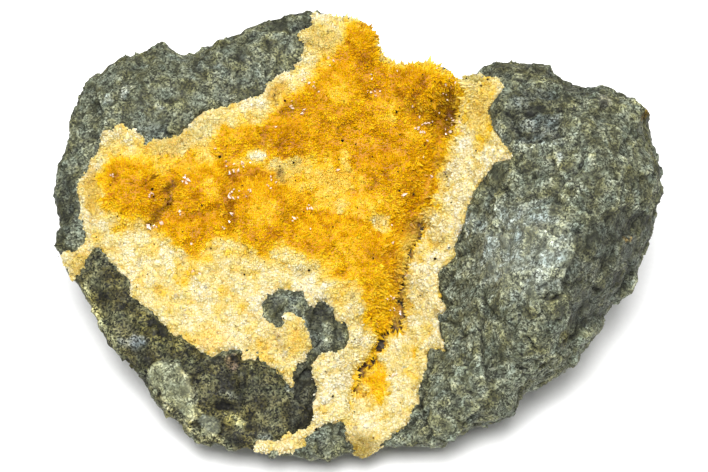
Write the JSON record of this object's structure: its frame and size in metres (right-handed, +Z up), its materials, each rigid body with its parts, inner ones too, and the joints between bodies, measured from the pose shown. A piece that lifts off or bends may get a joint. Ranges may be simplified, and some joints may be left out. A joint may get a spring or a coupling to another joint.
{
  "type": "calcite crystal specimen on basalt matrix",
  "caption": "Broken basalt block with an open hollow lined by an orange to cream crust of small calcite crystals; rests on its flat underside.",
  "frame": {"origin": "on the flat underside, under the middle of the stone", "axes": "+X along the stone's width, to the right of someone facing the hollow; +Y to the back, which is the high side; +Z up"},
  "size_m": [0.1408, 0.1033, 0.0573],
  "materials": {
    "basalt": "rough broken basalt, grey-green with pale and dark grains, dull",
    "calcite": "druse of small glassy crystals, orange in the hollow to cream at its edges"
  },
  "bodies": {
    "root": {"basalt_matrix": "basalt", "calcite_crust": "calcite"}
  },
  "joints": []
}
